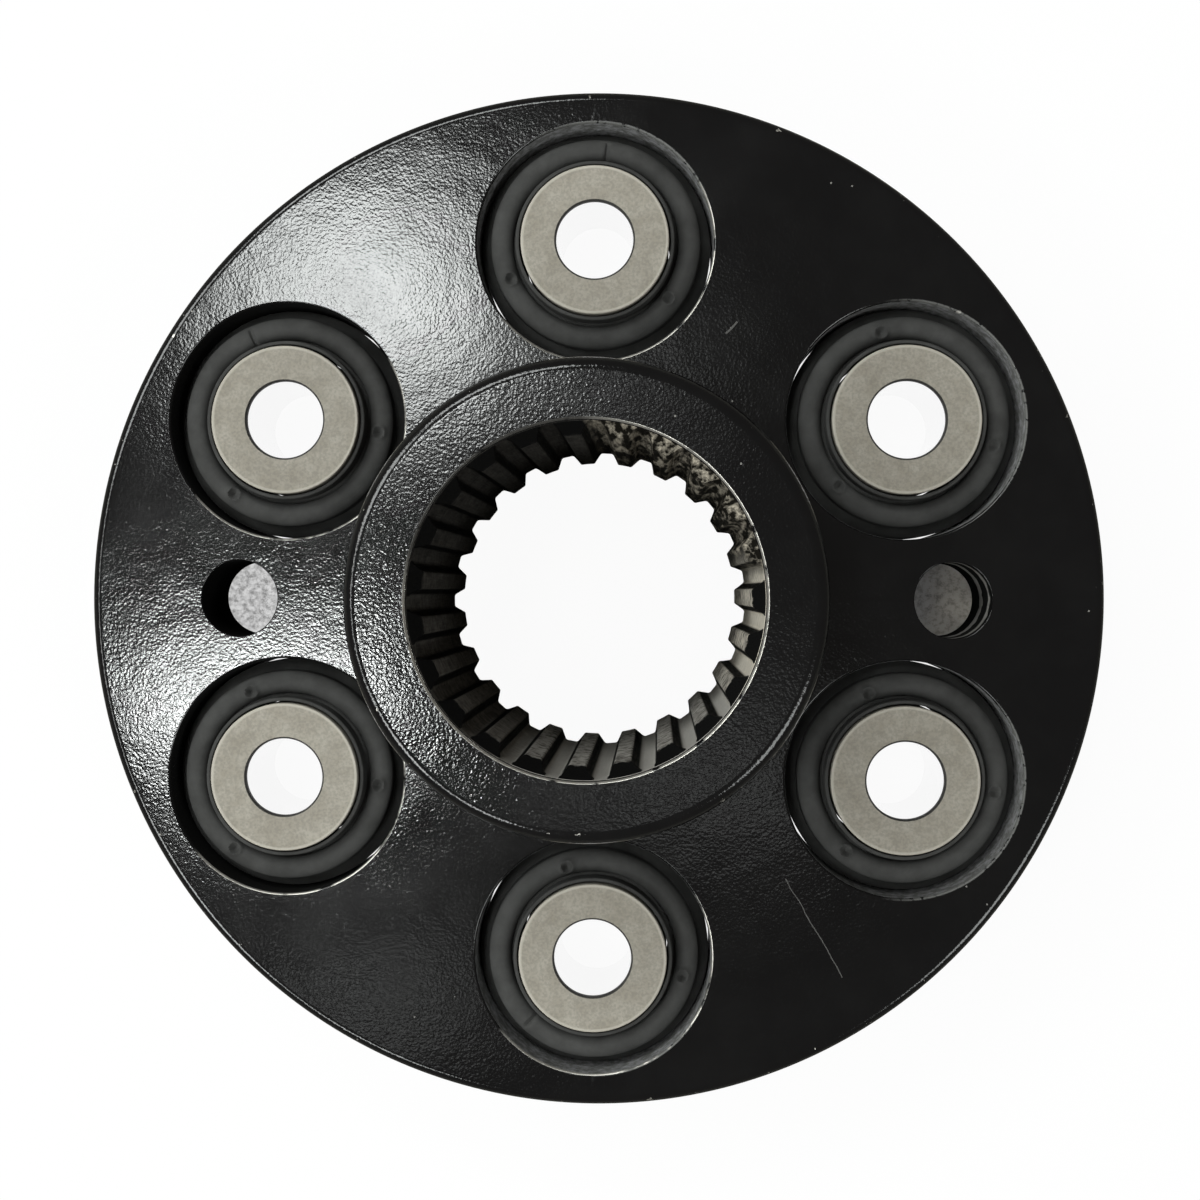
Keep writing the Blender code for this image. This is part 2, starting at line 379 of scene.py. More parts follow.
def body_outline(sizes, spline, rear, front):
    """Half section of flange and hub: from the spline's rear mouth round the outside to its front mouth."""
    mouth = spline.floor_radius
    return rounded((
        (spline.tip_radius, spline.rear_lead_in, 0),
        (spline.tip_radius + spline.rear_lead_in, 0, 0),
        (sizes.hub_radius, 0, sizes.hub_rear_edge),
        (sizes.hub_radius, rear, sizes.hub_fillet),
        (sizes.flange_radius, rear, sizes.flange_edge),
        (sizes.flange_radius, front, sizes.flange_edge),
        (sizes.hub_radius, front, sizes.hub_fillet),
        (sizes.hub_radius, sizes.hub_front, sizes.hub_edge),
        (mouth + spline.mouth_edge, sizes.hub_front, spline.mouth_edge / 2),
        (mouth, sizes.hub_front - spline.mouth_edge, 0),
        (spline.tip_radius, sizes.hub_front - spline.lead_in, 0),
    ))


def half_space(spline, radius):
    """Half the angle of a tooth space at a radius.

    It is half the space width over the pitch radius, plus the difference between the involute function
    tan a - a at the pitch circle and at the radius, where cos a is base radius over radius."""
    pitch = spline.teeth * spline.module / 2
    at_pitch = math.tan(spline.pressure_angle) - spline.pressure_angle
    angle = np.arccos(pitch * math.cos(spline.pressure_angle) / radius)
    return spline.space_width / (2 * pitch) + at_pitch - (np.tan(angle) - angle)


def blend_corner(start, corner, end):
    """Round of a corner as a parabola: (1 - t)^2 start + 2 t (1 - t) corner + t^2 end."""
    t = np.linspace(0, 1, FLANK_STEPS)
    return (1 - t) ** 2 * start + 2 * t * (1 - t) * corner + t ** 2 * end


def spline_cutter(spline, top):
    """Prism of all the tooth spaces. Each is worked out about its own middle line, as complex numbers."""
    tip, floor = spline.tip_radius, spline.floor_radius
    flank = np.linspace(tip + spline.tip_round, floor - spline.root_round, FLANK_STEPS)
    flank = flank * np.exp(1j * half_space(spline, flank))
    tip_corner = tip * np.exp(1j * half_space(spline, tip))
    root_corner = floor * np.exp(1j * half_space(spline, floor))
    land = (tip - LIFT) * np.exp(1j * (half_space(spline, tip) + spline.tip_round / tip))
    bottom = floor * np.exp(1j * (half_space(spline, floor) - spline.root_round / floor))
    inside = land * (tip - CUT_PAST) / tip
    half = np.concatenate(([inside], blend_corner(land, tip_corner, flank[0]), flank[1:-1],
                           blend_corner(flank[-1], root_corner, bottom)))
    space = np.concatenate((half.conj(), half[::-1]))
    middle = spline.first_tooth + (np.arange(spline.teeth) + 0.5) * 2 * math.pi / spline.teeth
    loop = (np.exp(1j * middle)[:, None] * space).ravel()
    height = np.array((-CUT_PAST, top + CUT_PAST))[:, None] + 0 * loop.real
    points = np.stack((loop.real + 0 * height, loop.imag + 0 * height, height), -1)
    return surface("tooth_spaces", points, loop=False)


def hole_cutter(name, spot, radius, edge, rear, front, segments):
    """Plug through the flange, whose ends flare in a quarter round that leaves a round edge."""
    turn = np.linspace(0, math.pi / 2, ARC_STEPS + 1)
    flare = np.stack((radius + edge - edge * np.cos(turn), edge * np.sin(turn) - edge + LIFT), -1)
    flare = np.concatenate((flare, ((radius + edge, CUT_PAST),)))
    outline = np.concatenate((flare[::-1] * (1, -1) + (0, rear), flare + (0, front)))
    return surface(name, turned(outline, segments) + spot, loop=False)


def seam(outline, low, high):
    """Outline of a piece whose lower half mirrors its upper half about the flange's middle."""
    return np.concatenate((outline, outline[::-1] * (1, -1) + (0, low + high)))


def bush_outline(sizes, rear, front):
    """Half section of a bush: a seat on the bore's wall, a round bead, a groove and a lip.

    The bead runs along half an ellipse. A power of its heights flattens the top, and a power of its turn
    sets the crest nearer to the sleeve."""
    inner, outer = SLEEVE_RADIUS + FIT_GAP, RUBBER_RADIUS
    lip = inner + sizes.lip_thickness
    bead_in, bead_out = lip + sizes.groove_width, outer - sizes.shoulder_gap
    foot = front - sizes.shoulder_depth
    crest = sizes.shoulder_depth - sizes.bead_recess
    seat = rounded((
        (outer, (rear + front) / 2, 0),
        (outer, front - sizes.seat_depth, SEAT_ROUND),
        (bead_out, (foot + front - sizes.seat_depth) / 2, FOOT_ROUND),
        (bead_out, foot, 0),
    ), closed=False)[1:]
    turn = np.linspace(0, math.pi, BEAD_STEPS + 1)
    lean = math.pi * (turn / math.pi) ** BEAD_LEAN
    bead = np.stack(((bead_in + bead_out) / 2 + (bead_out - bead_in) / 2 * np.cos(turn),
                     foot + crest * np.sin(lean).clip(0) ** BEAD_FLATNESS), -1)
    top = RUBBER_HIGH.z
    rim = rounded((
        (bead_in, foot, 0),
        (lip, front - sizes.groove_depth, SMALL_ROUND),
        (lip, top, LIP_ROUND),
        (inner, top, SMALL_ROUND),
        (inner, (rear + front) / 2, 0),
    ), closed=False)[1:-1]
    return seam(np.concatenate((seat[:-1], bead, rim)), rear, front)


def press_marks(points, sizes, middle, turn, tick):
    """Sinks the moulded dots and the tick into both beads, by a depth that falls off smoothly.

    A dot is depth * (exp(-(d/s)^2) - ring), with d the distance from its centre and a low raised ring
    round it. The tick is the same fall-off across a short radial line."""
    x, y, z = points[..., 0], points[..., 1], points[..., 2]
    radius = np.hypot(x, y)
    sink = 0 * z
    for number in range(DOT_COUNT):
        angle = turn + number * 2 * math.pi / DOT_COUNT
        along = x * math.cos(angle) + y * math.sin(angle)
        across = y * math.cos(angle) - x * math.sin(angle)
        if number == tick:
            beyond = np.maximum(np.abs(along - sizes.dot_circle) - TICK_REACH, 0)
            groove = np.exp(-((beyond / TICK_WIDTH) ** 2) - (across / TICK_WIDTH) ** 2)
            sink += TICK_DEPTH * sizes.dot_depth * groove
            continue
        distance = np.hypot(along - sizes.dot_circle, across) / sizes.dot_radius
        ring = np.exp(-(((distance - RING_RADIUS) / RING_WIDTH) ** 2))
        sink += sizes.dot_depth * (np.exp(-(distance ** 2)) - RING_HEIGHT * ring)
    on_bead = (radius > sizes.dot_circle - MARKS_IN) & (radius < sizes.dot_circle + MARKS_OUT)
    points[..., 2] = z - np.sign(z - middle) * np.where(on_bead, sink, 0)


# Materials


def add(tree, kind, inputs=None, **settings):
    """Adds a node with its settings. An input is a value, a socket, or a node's first live output."""
    node = tree.nodes.new("ShaderNode" + kind)
    for key, value in settings.items():
        setattr(node, key, value)
    for key, value in (inputs or {}).items():
        live = [s for s in node.inputs if s.enabled]
        socket = live[key] if isinstance(key, int) else next(s for s in live if s.name == key)
        if isinstance(value, bpy.types.Node):
            value = next(s for s in value.outputs if s.enabled)
        if isinstance(value, bpy.types.NodeSocket):
            tree.links.new(value, socket)
        else:
            socket.default_value = value
    return node


def blank_material(name):
    material = bpy.data.materials.new(name)
    material.use_nodes = True
    material.node_tree.nodes.clear()
    return material, material.node_tree


def where(tree, place):
    """The place laid flat, its distance from the Z axis and its coordinates."""
    flat = add(tree, "VectorMath", {0: place, 1: (1, 1, 0)}, operation="MULTIPLY")
    radius = add(tree, "VectorMath", {0: flat}, operation="LENGTH")
    return flat, radius, add(tree, "SeparateXYZ", {0: place}).outputs


def towards(tree, place, side):
    """How far the place lies from the Z axis towards a side, an angle counter-clockwise from +X."""
    return add(tree, "VectorMath", {0: place, 1: (math.cos(side), math.sin(side), 0)},
               operation="DOT_PRODUCT").outputs["Value"]


def bush_distance(tree, radius, x, y):
    """Distance from the nearest bush's axis, by the law of cosines with the angle folded into one bush's
    share, and how far past that axis the place lies towards +X -Y."""
    angle = add(tree, "Math", {0: y, 1: x}, operation="ARCTAN2")
    share = math.pi / BUSH_COUNT
    turned_back = add(tree, "Math", {0: angle, 1: FIRST_BUSH}, operation="SUBTRACT")
    folded = add(tree, "Math", {0: turned_back, 1: share, 2: -share}, operation="WRAP")
    cosine = add(tree, "Math", {0: folded}, operation="COSINE")
    product = add(tree, "Math", {0: radius, 1: cosine}, operation="MULTIPLY")
    squares = add(tree, "Math", {0: radius, 1: radius, 2: BOLT_CIRCLE ** 2}, operation="MULTIPLY_ADD")
    squared = add(tree, "Math", {0: product, 1: -2 * BOLT_CIRCLE, 2: squares}, operation="MULTIPLY_ADD")
    axis_angle = add(tree, "Math", {0: angle, 1: folded}, operation="SUBTRACT")
    axis_angle = add(tree, "Math", {0: axis_angle, 1: FAR_SIDE}, operation="SUBTRACT")
    axis_past = add(tree, "Math", {0: axis_angle}, operation="COSINE")
    along_x = add(tree, "Math", {0: x, 1: math.cos(FAR_SIDE)}, operation="MULTIPLY")
    past = add(tree, "Math", {0: y, 1: math.sin(FAR_SIDE), 2: along_x}, operation="MULTIPLY_ADD")
    past = add(tree, "Math", {0: axis_past, 1: -BOLT_CIRCLE, 2: past}, operation="MULTIPLY_ADD")
    return add(tree, "Math", {0: squared}, operation="SQRT"), past


def worn_edges(tree, sizes, place, radius, z, from_bush):
    """1 in chips 1 mm across along the rim, the hub's front edge and the bush bores, and 0 elsewhere."""
    rim = add(tree, "MapRange", {"Value": radius, "From Min": sizes.flange_radius - 1.9 * MM,
                                 "From Max": sizes.flange_radius - 1.2 * MM},
              interpolation_type="SMOOTHSTEP")
    hub_ring = add(tree, "Math", {0: radius, 1: sizes.hub_radius - 0.5 * MM, 2: 1.4 * MM},
                   operation="COMPARE")
    hub_top = add(tree, "Math", {0: z, 1: sizes.hub_front - 2 * MM}, operation="GREATER_THAN")
    hub_edge = add(tree, "Math", {0: hub_ring, 1: hub_top}, operation="MULTIPLY")
    bore = add(tree, "MapRange", {"Value": from_bush, "From Min": sizes.bore_radius + 0.6 * MM,
                                  "From Max": sizes.bore_radius + 0.2 * MM, "To Max": 0.9})
    edges = add(tree, "Math", {0: rim, 1: hub_edge}, operation="MAXIMUM")
    edges = add(tree, "Math", {0: edges, 1: bore}, operation="MAXIMUM")
    noise = add(tree, "TexNoise",
                {"Vector": place, "Scale": 1 / (1.7 * MM), "Detail": 3.0, "Roughness": 0.6})
    chips = add(tree, "MapRange", {"Value": noise, "From Min": 0.7, "From Max": 0.72})
    return add(tree, "Math", {0: edges, 1: chips}, operation="MULTIPLY")


def painted_glint_on_bores(tree, sizes, place, x, from_bush, past):
    """1 in a broken line along the +X -Y side of the bush bores' edges, except on the +X bushes: a painted
    highlight, drawn as bare steel.
    """
    line = add(tree, "Math", {0: from_bush, 1: sizes.bore_radius + 0.2 * MM, 2: 0.15 * MM},
               operation="COMPARE")
    side = add(tree, "MapRange", {"Value": past, "From Min": 1 * MM, "From Max": 5 * MM})
    near = add(tree, "MapRange", {"Value": x, "From Min": 28 * MM, "From Max": 22 * MM})
    noise = add(tree, "TexNoise", {"Vector": place, "Scale": 1 / (4 * MM), "Detail": 3.0})
    broken = add(tree, "MapRange", {"Value": noise, "From Min": 0.38, "From Max": 0.5})
    rubbed = add(tree, "Math", {0: line, 1: side}, operation="MULTIPLY")
    rubbed = add(tree, "Math", {0: rubbed, 1: near}, operation="MULTIPLY")
    return add(tree, "Math", {0: rubbed, 1: broken}, operation="MULTIPLY")


def crusted_edges(tree, sizes, place, radius, x, from_bush):
    """1 in patches of dust on the outward edges of the top, right-hand and bottom bush bores: partly
    painted light, and left off the -X bushes as painted shade.
    """
    edge = add(tree, "MapRange", {"Value": from_bush, "From Min": sizes.bore_radius + 0.5 * MM,
                                  "From Max": sizes.bore_radius + 0.35 * MM})
    outward = add(tree, "MapRange", {"Value": radius, "From Min": BOLT_CIRCLE + 9 * MM,
                                     "From Max": BOLT_CIRCLE + 14 * MM})
    # Painted light and shade: the dust is left off the -X bushes, whose outward edges face away from the
    # lamps
    side = add(tree, "MapRange", {"Value": x, "From Min": -12 * MM, "From Max": -2 * MM})
    crust = add(tree, "Math", {0: edge, 1: outward}, operation="MULTIPLY")
    crust = add(tree, "Math", {0: crust, 1: side}, operation="MULTIPLY")
    noise = add(tree, "TexNoise", {"Vector": place, "Scale": 1 / (0.9 * MM), "Detail": 3.0})
    broken = add(tree, "MapRange", {"Value": noise, "From Min": 0.36, "From Max": 0.46})
    return add(tree, "Math", {0: crust, 1: broken}, operation="MULTIPLY")


def scratches(tree, place, flat, z, front):
    """1 in each scratch of the flange's face, which runs along a slightly bent line, and 0 elsewhere."""
    wander = add(tree, "TexNoise", {"Vector": place, "Scale": 1 / (3 * MM), "Detail": 2.0})
    marks = add(tree, "Value")
    marks.outputs[0].default_value = 0.0
    for start, end, width in SCRATCHES:
        begin = Vector((*start, 0)) * MM
        run = Vector((*end, 0)) * MM - begin
        away = add(tree, "VectorMath", {0: flat, 1: begin}, operation="SUBTRACT")
        along = add(tree, "VectorMath", {0: away, 1: run / run.length_squared}, operation="DOT_PRODUCT")
        sideways = run.cross(Vector((0, 0, 1))).normalized()
        across = add(tree, "VectorMath", {0: away, 1: sideways}, operation="DOT_PRODUCT")
        bent = add(tree, "Math", {0: wander, 1: 0.5 * MM, 2: across}, operation="MULTIPLY_ADD")
        line = add(tree, "Math", {0: bent, 1: 0.25 * MM, 2: width * MM / 2}, operation="COMPARE")
        within = add(tree, "Math", {0: along, 1: 0.5, 2: 0.5}, operation="COMPARE")
        mark = add(tree, "Math", {0: line, 1: within}, operation="MULTIPLY")
        marks = add(tree, "Math", {0: marks, 1: mark}, operation="MAXIMUM")
    on_face = add(tree, "Math", {0: z, 1: front, 2: 0.3 * MM}, operation="COMPARE")
    return add(tree, "Math", {0: marks, 1: on_face}, operation="MULTIPLY")


def gloss_black_enamel(colours, sizes, spline, front):
    """Machinery enamel sprayed on a forging: deep black and glossy, with an orange-peel skin that breaks
    every reflection into grains, paint chipped to bare steel along edges, a few scratches and dust."""
    material, tree = blank_material("gloss_black_enamel")
    place = add(tree, "TexCoord").outputs["Object"]
    flat, radius, (x, y, z) = where(tree, place)
    from_bush, past = bush_distance(tree, radius, x, y)
    chipped = worn_edges(tree, sizes, place, radius, z, from_bush)
    crust = crusted_edges(tree, sizes, place, radius, x, from_bush)
    scratched = scratches(tree, place, flat, z, front)

    # The edge break round the spline's mouth is rubbed bare nearly all round, and kept dark on the side
    # painted as shade
    mouth_middle = spline.floor_radius + 0.3 * MM
    mouth = add(tree, "Math", {0: radius, 1: mouth_middle, 2: 0.17 * MM}, operation="COMPARE")
    mouth_noise = add(tree, "TexNoise", {"Vector": place, "Scale": 1 / (2.5 * MM), "Detail": 2.0})
    rubbed = add(tree, "MapRange", {"Value": mouth_noise, "From Min": 0.32, "From Max": 0.42})
    kept = add(tree, "MapRange", {"Value": towards(tree, place, PAINTED_SHADE_SIDE), "From Min": 15 * MM,
                                  "From Max": 21 * MM, "To Min": 1.0, "To Max": 0.1})
    rubbed = add(tree, "Math", {0: rubbed, 1: kept}, operation="MULTIPLY")
    mouth = add(tree, "Math", {0: mouth, 1: rubbed}, operation="MULTIPLY")
    bare = add(tree, "Math", {0: chipped, 1: mouth}, operation="MAXIMUM")
    # Painted highlight: a broken bright line, drawn as bare steel, where the bush bores' edges catch the
    # lamps
    bores = painted_glint_on_bores(tree, sizes, place, x, from_bush, past)
    bare = add(tree, "Math", {0: bare, 1: bores}, operation="MAXIMUM")

    # Dust: one speck 0.3 mm across in a few of the cells, lighter than the paint
    cells = add(tree, "TexVoronoi", {"Vector": place, "Scale": 1 / (3.2 * MM)})
    small = add(tree, "Math", {0: cells.outputs["Distance"], 1: 0.05}, operation="LESS_THAN")
    lot = add(tree, "SeparateColor", {0: cells.outputs["Color"]}).outputs[0]
    chosen = add(tree, "Math", {0: lot, 1: 0.85}, operation="GREATER_THAN")
    dust = add(tree, "Math", {0: small, 1: chosen}, operation="MULTIPLY")

    # A thin film of handling marks, some 15 mm across, that greys the black and takes a little of its gloss
    film_noise = add(tree, "TexNoise",
                     {"Vector": place, "Scale": 1 / (14 * MM), "Detail": 4.0, "Roughness": 0.6})
    film = add(tree, "MapRange", {"Value": film_noise, "From Min": 0.4, "From Max": 0.7, "To Max": 0.35})
    base = add(tree, "Mix", {"Factor": film, "A": colours.enamel, "B": linear("#151515")}, data_type="RGBA")
    base = add(tree, "Mix", {"Factor": dust, "A": base, "B": linear("#6E6C68")}, data_type="RGBA")
    base = add(tree, "Mix", {"Factor": scratched, "A": base, "B": linear("#4A4947")}, data_type="RGBA")
    base = add(tree, "Mix", {"Factor": crust, "A": base, "B": linear("#555553")}, data_type="RGBA")
    base = add(tree, "Mix", {"Factor": bare, "A": base, "B": linear("#C2BFB8")}, data_type="RGBA")
    metal = add(tree, "Math", {0: bare, 1: 0.9}, operation="MULTIPLY")
    gloss = add(tree, "MapRange", {"Value": film_noise, "From Min": 0.3, "From Max": 0.7,
                                   "To Min": 0.1, "To Max": 0.14})
    dull = add(tree, "Math", {0: scratched, 1: dust}, operation="MAXIMUM")
    dull = add(tree, "Math", {0: dull, 1: crust}, operation="MAXIMUM")
    rough = add(tree, "Mix", {"Factor": dull, "A": gloss, "B": 0.5})
    rough = add(tree, "Mix", {"Factor": bare, "A": rough, "B": 0.4})

    # Orange peel 0.5 mm across, rougher on the hub's face, a slower wave of 5 mm, and the step into chips
    peel = add(tree, "TexNoise",
               {"Vector": place, "Scale": 1 / (0.48 * MM), "Detail": 1.0, "Roughness": 0.6})
    wave = add(tree, "TexNoise", {"Vector": place, "Scale": 1 / (5 * MM), "Detail": 1.0})
    skin = add(tree, "Bump", {"Height": wave, "Distance": 0.035 * MM, "Strength": 1.0})
    coarse = add(tree, "MapRange", {"Value": z, "From Min": front, "From Max": sizes.hub_front,
                                    "To Min": 1.0, "To Max": 1.35})
    peel = add(tree, "Math", {0: peel, 1: coarse}, operation="MULTIPLY")
    skin = add(tree, "Bump", {"Height": peel, "Distance": 0.022 * MM, "Strength": 1.0, "Normal": skin})
    pits = add(tree, "Math", {0: bare, 1: scratched}, operation="ADD")
    skin = add(tree, "Bump", {"Height": pits, "Distance": 0.05 * MM, "Strength": 0.8, "Normal": skin},
               invert=True)
    shader = add(tree, "BsdfPrincipled",
                 {"Base Color": base, "Metallic": metal, "Roughness": rough, "Normal": skin})
    add(tree, "OutputMaterial", {"Surface": shader})
    return material


def dusty_bore_enamel(colours):
    """Thin overspray inside the bush bores: grey with dust and crusted where the bush dragged going in,
    and matt black on the -X side as painted shade."""
    material, tree = blank_material("dusty_bore_enamel")
    place = add(tree, "TexCoord").outputs["Object"]
    crust_noise = add(tree, "TexNoise",
                      {"Vector": place, "Scale": 1 / (1.3 * MM), "Detail": 4.0, "Roughness": 0.7})
    crust = add(tree, "MapRange", {"Value": crust_noise, "From Min": 0.42, "From Max": 0.66})
    base = add(tree, "Mix", {"Factor": crust, "A": colours.bore_wall, "B": linear("#9A9A9C")},
               data_type="RGBA")
    # Painted shade: black towards -X, where the bore walls face away from the lamps
    x = add(tree, "SeparateXYZ", {0: place}).outputs[0]
    dusty = add(tree, "MapRange", {"Value": x, "From Min": -30 * MM, "From Max": -12 * MM})
    base = add(tree, "Mix", {"Factor": dusty, "A": linear("#121211"), "B": base}, data_type="RGBA")
    skin = add(tree, "Bump", {"Height": crust_noise, "Distance": 0.12 * MM, "Strength": 1.0})
    shader = add(tree, "BsdfPrincipled", {"Base Color": base, "Roughness": 0.75, "Specular IOR Level": 0.2,
                                          "Normal": skin})
    add(tree, "OutputMaterial", {"Surface": shader})
    return material


def sooty_drilled_wall(front):
    """Drilled wall under a dry coat of spray: sooty with no gloss, ridged across by the drill's feed. In
    the +X hole two ragged grey rings are painted highlights on the wall."""
    material, tree = blank_material("sooty_drilled_wall")
    place = add(tree, "TexCoord").outputs["Object"]
    squeezed = add(tree, "VectorMath", {0: place, 1: (0.1, 0.1, 1)}, operation="MULTIPLY")
    feed = add(tree, "TexNoise", {"Vector": squeezed, "Scale": 1 / (0.4 * MM), "Detail": 2.0})
    x, _, z = add(tree, "SeparateXYZ", {0: place}).outputs
    # Painted highlight: two ragged grey rings on the +X hole's wall
    ragged = add(tree, "TexNoise", {"Vector": place, "Scale": 1 / (2 * MM), "Detail": 2.0})
    height = add(tree, "Math", {0: ragged, 1: 3 * MM, 2: z}, operation="MULTIPLY_ADD")
    upper = add(tree, "Math", {0: height, 1: front - 1 * MM, 2: 0.8 * MM}, operation="COMPARE")
    lower = add(tree, "Math", {0: height, 1: front - 8 * MM, 2: 1.4 * MM}, operation="COMPARE")
    rings = add(tree, "Math", {0: upper, 1: lower}, operation="MAXIMUM")
    right_hole = add(tree, "Math", {0: x, 1: 0.0}, operation="GREATER_THAN")
    rings = add(tree, "Math", {0: rings, 1: right_hole}, operation="MULTIPLY")
    base = add(tree, "Mix", {"Factor": feed, "A": linear("#0A0A0A"), "B": linear("#1C1C1B")},
               data_type="RGBA")
    base = add(tree, "Mix", {"Factor": rings, "A": base, "B": linear("#8E8C88")}, data_type="RGBA")
    skin = add(tree, "Bump", {"Height": feed, "Distance": 0.04 * MM, "Strength": 1.0})
    shader = add(tree, "BsdfPrincipled", {"Base Color": base, "Roughness": 0.9, "Specular IOR Level": 0.05,
                                          "Normal": skin})
    add(tree, "OutputMaterial", {"Surface": shader})
    return material


def broached_steel(colours, sizes, spline):
    """Broached steel under overspray: the lead-in is black, and the tooth tips and floors dusty grey,
    with pale crumbs on black towards +X and +Y. Painted shade makes the flanks black, darkens the tips
    and floors towards -X and +Y and greys the floors towards -Y, so the floors are bare and bright only
    on the +X -Y side."""
    material, tree = blank_material("broached_steel")
    place = add(tree, "TexCoord").outputs["Object"]
    _, radius, (x, y, z) = where(tree, place)

    # Broach marks run along the axis: noise 0.3 mm across and twenty times as long
    stretched = add(tree, "VectorMath", {0: place, 1: (1, 1, 0.05)}, operation="MULTIPLY")
    streaks = add(tree, "TexNoise", {"Vector": stretched, "Scale": 1 / (0.3 * MM), "Detail": 3.0})
    patches = add(tree, "TexNoise",
                  {"Vector": place, "Scale": 1 / (1.6 * MM), "Detail": 4.0, "Roughness": 0.65})

    # Tips are patchy, the lead-in's cone wholly covered, the flanks painted black as shade, and floors left
    # to the painted shade's reach
    off_floor = add(tree, "MapRange", {"Value": radius, "From Min": spline.floor_radius - 0.15 * MM,
                                       "From Max": spline.floor_radius - 0.5 * MM})
    tip = add(tree, "MapRange", {"Value": radius, "From Min": spline.tip_radius + 0.3 * MM,
                                 "From Max": spline.tip_radius + 0.1 * MM})
    held = add(tree, "MapRange",
               {"Value": patches, "From Min": 0.4, "From Max": 0.6, "To Min": 1.0, "To Max": 0.1})
    flank = add(tree, "Mix", {"Factor": tip, "A": off_floor, "B": 0.0})
    cover = add(tree, "Mix", {"Factor": tip, "A": off_floor, "B": held})

    # Painted shade round the bore, ragged at its edge: full black towards -X and +Y, none towards +X and -Y
    near = towards(tree, place, PAINTED_SHADE_SIDE)
    ragged = add(tree, "Math", {0: patches, 1: 12 * MM, 2: near}, operation="MULTIPLY_ADD")
    sprayed = add(tree, "MapRange", {"Value": ragged, "From Min": -8 * MM, "From Max": -2 * MM})
    cover = add(tree, "Math", {0: cover, 1: sprayed}, operation="MAXIMUM")
    depth = add(tree, "Math", {0: sizes.hub_front + 1 * MM, 1: z}, operation="SUBTRACT")
    depth = add(tree, "Math", {0: patches, 1: -2 * MM, 2: depth}, operation="MULTIPLY_ADD")
    lead = add(tree, "MapRange",
               {"Value": depth, "From Min": spline.lead_in * 1.1, "From Max": spline.lead_in * 0.95})
    on_cone = add(tree, "MapRange", {"Value": radius, "From Min": spline.floor_radius - 0.03 * MM,
                                     "From Max": spline.floor_radius - 0.08 * MM})
    lead = add(tree, "Math", {0: lead, 1: on_cone}, operation="MULTIPLY")
    cover = add(tree, "Math", {0: cover, 1: lead}, operation="MAXIMUM")
    black = add(tree, "Math", {0: flank, 1: lead}, operation="MAXIMUM")

    # Crumbs of rust and dried paint, 1.3 mm across and dragged out along the axis, towards +X and +Y
    dragged = add(tree, "VectorMath", {0: place, 1: (1, 1, 0.12)}, operation="MULTIPLY")
    grit = add(tree, "TexNoise",
               {"Vector": dragged, "Scale": 1 / (1.3 * MM), "Detail": 3.0, "Roughness": 0.6})
    crumbs = add(tree, "MapRange", {"Value": grit, "From Min": 0.47, "From Max": 0.66})
    there = add(tree, "MapRange", {"Value": towards(tree, place, CRUMB_SIDE), "From Min": 19.2 * MM,
                                   "From Max": 20.6 * MM})
    crumbs = add(tree, "Math", {0: crumbs, 1: there}, operation="MULTIPLY")

    tone = add(tree, "MapRange", {"Value": patches, "From Min": 0.35, "From Max": 0.7})
    base = add(tree, "Mix", {"Factor": tone, "A": colours.spline_steel, "B": linear("#C9C1B1")},
               data_type="RGBA")
    # Painted shade: the bare steel greys towards -Y, where less light falls
    film = add(tree, "MapRange", {"Value": y, "From Min": -9 * MM, "From Max": -16 * MM, "To Max": 0.85})
    base = add(tree, "Mix", {"Factor": film, "A": base, "B": linear("#A8A6A2")}, data_type="RGBA")
    pale = add(tree, "Mix", {"Factor": tone, "A": linear("#45423E"), "B": linear("#8A857E")},
               data_type="RGBA")
    dark = add(tree, "Mix", {"Factor": tone, "A": linear("#1C1B1A"), "B": linear("#454340")},
               data_type="RGBA")
    # Painted shade: the dusty tone darkens towards the side that faces away from the lamps
    toward_painted_shade = add(tree, "MapRange", {"Value": near, "From Min": -12 * MM, "From Max": 22 * MM})
    dusty = add(tree, "Mix", {"Factor": toward_painted_shade, "A": pale, "B": dark}, data_type="RGBA")
    soot = add(tree, "Mix", {"Factor": black, "A": dusty, "B": linear("#0B0B0B")}, data_type="RGBA")
    base = add(tree, "Mix", {"Factor": cover, "A": base, "B": soot}, data_type="RGBA")
    base = add(tree, "Mix", {"Factor": there, "A": base, "B": linear("#15130F")}, data_type="RGBA")
    base = add(tree, "Mix", {"Factor": crumbs, "A": base, "B": linear("#B0A899")}, data_type="RGBA")
    metal = add(tree, "MapRange", {"Value": cover, "To Min": 0.12, "To Max": 0.0})
    rough = add(tree, "MapRange",
                {"Value": streaks, "From Min": 0.3, "From Max": 0.7, "To Min": 0.5, "To Max": 0.7})
    skin = add(tree, "Bump", {"Height": streaks, "Distance": 0.02 * MM, "Strength": 1.0})
    skin = add(tree, "Bump", {"Height": crumbs, "Distance": 0.3 * MM, "Strength": 1.0, "Normal": skin})
    shader = add(tree, "BsdfPrincipled", {"Base Color": base, "Metallic": metal, "Roughness": rough,
                                          "Specular IOR Level": 0.08, "Normal": skin})
    add(tree, "OutputMaterial", {"Surface": shader})
    return material


